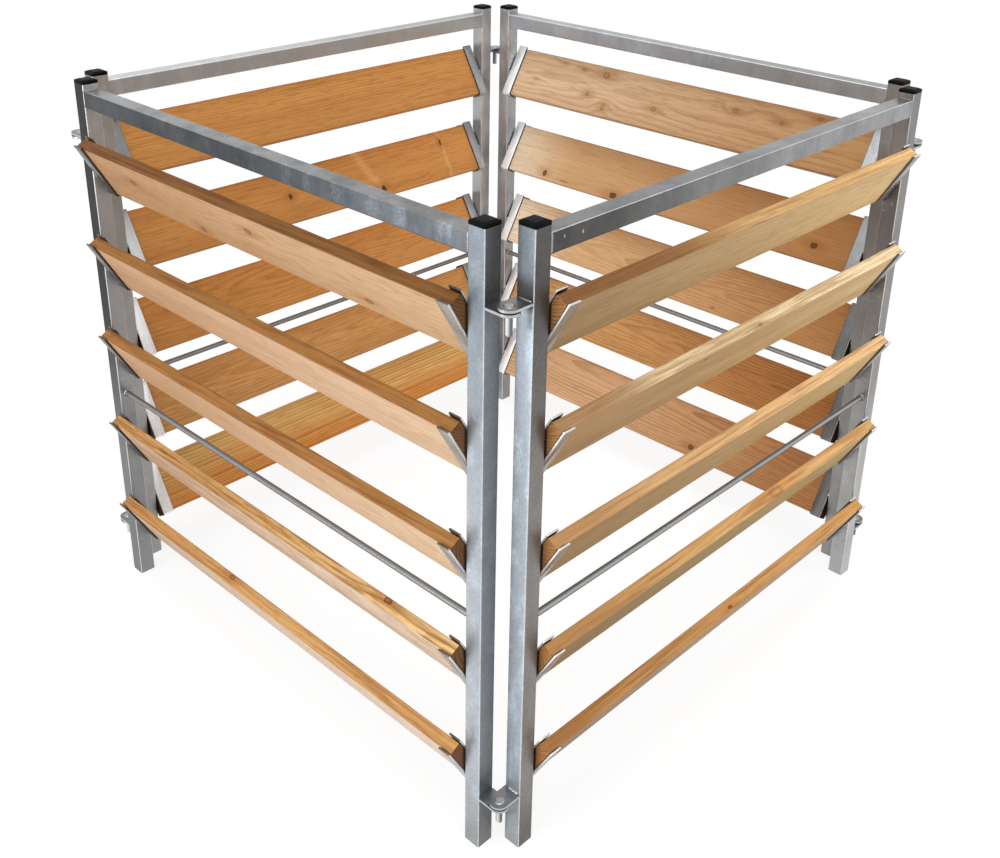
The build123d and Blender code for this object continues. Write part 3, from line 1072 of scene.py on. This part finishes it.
# %% Model one puddle and one drop
puddle_radius = 0.0082
puddle_sunk = 0.0004
puddle_rings = ((0.0007, 0.90), (0.0005, 0.66), (-0.0002, 0.36))  # rise and share of the radius, from the rim inwards
puddle = start_piece(bpy.ops.mesh.primitive_circle_add, vertices=20, radius=puddle_radius, fill_type="NGON",
                     location=(0, 0, -puddle_sunk))
share = 1.0
for rise, next_share in puddle_rings:
    extrude((0.0002, -0.0001, rise))
    resize((next_share / share, next_share / share, 1))
    share = next_share
leave_edit_mode()
smooth(puddle, weld_zinc)

tail_start, tail_thin = 0.2, 1.2  # heights in the drop, whose radius is 1
drop = start_piece(bpy.ops.mesh.primitive_uv_sphere_add, segments=10, ring_count=8, radius=1)
pick("VERT", lambda point: point.z > tail_start)
resize((0.6, 0.6, 1.7), (0, 0, tail_start))
pick("VERT", lambda point: point.z > tail_thin)
resize((0.5, 0.5, 1.2), (0, 0, tail_thin))
leave_edit_mode()
smooth(drop, weld_zinc)
print("puddle:", len(puddle.data.polygons), "faces, drop:", len(drop.data.polygons), "faces")

# %% [markdown]
# Every bead is sunk by about half into the corner that it fills. On the rail's flush sides it is longer and sits
# deeper, because there it fills the groove along the post's rounded edge.

# %% Places of the beads on the front panel
rail_low, rail_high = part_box("front_top_rail")
flush_depth = 0.0011
flush_stretch = Matrix.Diagonal((0.9, 0.9, 1.25, 1))
rail_bead = Matrix.Diagonal((0.6, 0.6, 1, 1))
across_panel = Matrix.Rotation(radians(90), 4, "X")  # turns an upright bead to run in and out of the panel
post_end = post_high.x
bead_lines = []
for side in ends.values():
    for height in (rail_low.z, rail_high.z):
        bead_lines.append(Matrix.Translation((side * post_face, panel_y, height)) @ across_panel @ rail_bead)
    for flush_y in (rail_low.y + flush_depth, rail_high.y - flush_depth):
        seam = Vector((side * post_face, flush_y, (rail_low.z + rail_high.z) / 2))
        bead_lines.append(Matrix.Translation(seam) @ flush_stretch)
pin_low, pin_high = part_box("front_pin_plates")
eye_low, eye_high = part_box("front_eye_plates")
pin_plate_tops = (pin_high.z, pin_low.z + plate_thickness)
for height in pin_plate_tops:
    bead_lines.append(Matrix.Translation((-post_end, panel_y, height)) @ across_panel)
for height in (eye_high.z - plate_thickness, eye_low.z):
    bead_lines.append(Matrix.Translation((post_end, panel_y, height)) @ across_panel)
ring_places = [Matrix.Translation((side * post_face, panel_y, middle("front_tie_rod").z)) for side in ends.values()]
puddle_places = [Matrix.Translation((-hinge_reach, panel_y, height)) for height in pin_plate_tops]
print("beads:", len(bead_lines), "rings:", len(ring_places), "puddles:", len(puddle_places))

# %% [markdown]
# Drops hang on the posts' inner sides below every strap. A few single ones are placed where they catch the eye: two
# on the right rail, a long run on the front post, and a rough cluster near the top of the front panel's pin post.

# %% Places of the drops
drop_depth = 0.0009
outer_face = rail_low.y
strap_drops = ((-0.006, 0.058, 0.0017), (0.008, 0.073, 0.0013))  # reach into the bin, distance below a board, size


def drop_place(x, y, z, width, height, faces_along=0):
    """A drop that lies flat on the panel's outer face, or on a post's inner side that faces along the panel."""
    lay = Matrix.Rotation(radians(90 * faces_along), 4, "Z")
    return Matrix.Translation((x, y, z)) @ lay @ Matrix.Diagonal((width, drop_depth, height, 1))


common_drops = []
for side in ends.values():
    for number in slat_numbers:
        slat_height = middle(f"front_slat_{number}").z
        for reach, below, size in strap_drops:
            common_drops.append(drop_place(side * post_face, panel_y + reach + 0.002 * sin(7 * number + side),
                                           slat_height - below, size, size * 1.3, -side))
own_drops = {
    "right": [drop_place(-0.4424, outer_face, 0.9785, 0.0019, 0.0021),
              drop_place(-0.4069, outer_face, 0.9755, 0.0019, 0.0024)],
    "front": [drop_place(0.4724, outer_face, 0.742, 0.0010, 0.0065)],
}
for spot in range(14):
    own_drops["front"].append(drop_place(-post_face, panel_y + 0.0095 * sin(5.3 * spot), 0.912 + 0.0040 * spot,
                                         0.0012 + 0.0004 * sin(3.1 * spot), 0.0014, 1))
print("drops on each panel:", len(common_drops), "and more on:", list(own_drops))

# %% Lay the welds on all panels
for panel, turn in turn_of.items():
    places = [(bead, bead_lines), (ring, ring_places), (puddle, puddle_places),
              (drop, common_drops + own_drops.get(panel, []))]
    welds = [copy_to(kind, turn @ place) for kind, spots in places for place in spots]
    piece = join(welds, f"{panel}_welds")
    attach(piece, f"{panel}_panel")
for kind in (bead, ring, puddle, drop):
    bpy.data.objects.remove(kind)
print("weld pieces:", len(turn_of))

# %% [markdown]
# ## Post caps
# A black cap closes the top of each post. It is a cube the size of the post, whose top is extruded and drawn in to a
# sloped rim; the underside is inset and pushed down to the plug that grips the tube. Bevels round what a mould
# would round, and catch the thin highlights that make black plastic readable.

# %% Model one cap
cap_low, cap_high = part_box("front_post_caps")
cap_crown = 0.002  # height of the sloped rim
cap_slope = 0.005  # its width
cap_corner = 0.0025  # radius of the upright edges
cap_edge = 0.0006  # bevel of all others
plug_inset = 0.0022  # wall of the tube and a little play
cap_base = post_high.z
skirt_height = cap_high.z - cap_crown - cap_base
cap = start_piece(bpy.ops.mesh.primitive_cube_add, size=1)
resize((post_side, post_side, skirt_height))
bpy.ops.transform.translate(value=(0, 0, cap_base + skirt_height / 2))
pick("EDGE", lambda point: abs(point.x) > post_side * 0.45 and abs(point.y) > post_side * 0.45)
bpy.ops.mesh.bevel(offset=cap_corner, segments=4, affect="EDGES")
pick("FACE", lambda point: point.z > cap_base + skirt_height * 0.95)
extrude((0, 0, cap_crown))
drawn_in = 1 - 2 * cap_slope / post_side
resize((drawn_in, drawn_in, 1), (0, 0, cap_high.z))
pick("FACE", lambda point: point.z < cap_base + skirt_height * 0.05)
bpy.ops.mesh.inset(thickness=plug_inset)
extrude((0, 0, cap_low.z - cap_base))
leave_edit_mode()
apply_modifier(cap, "BEVEL", width=cap_edge, segments=3, limit_method="ANGLE", angle_limit=radians(15))
smooth(cap, cap_plastic, sharp=radians(35))
print("cap:", len(cap.data.polygons), "faces")

# %% Put the caps on all posts
for panel, turn in turn_of.items():
    pair = [copy_to(cap, turn @ Matrix.Translation((side * (post_face + post_side / 2), panel_y, 0)))
            for side in ends.values()]
    piece = join(pair, f"{panel}_caps")
    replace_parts(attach(piece, f"{panel}_panel"), f"{panel}_post_caps")
bpy.data.objects.remove(cap)
print("caps:", 2 * len(panel_turns))
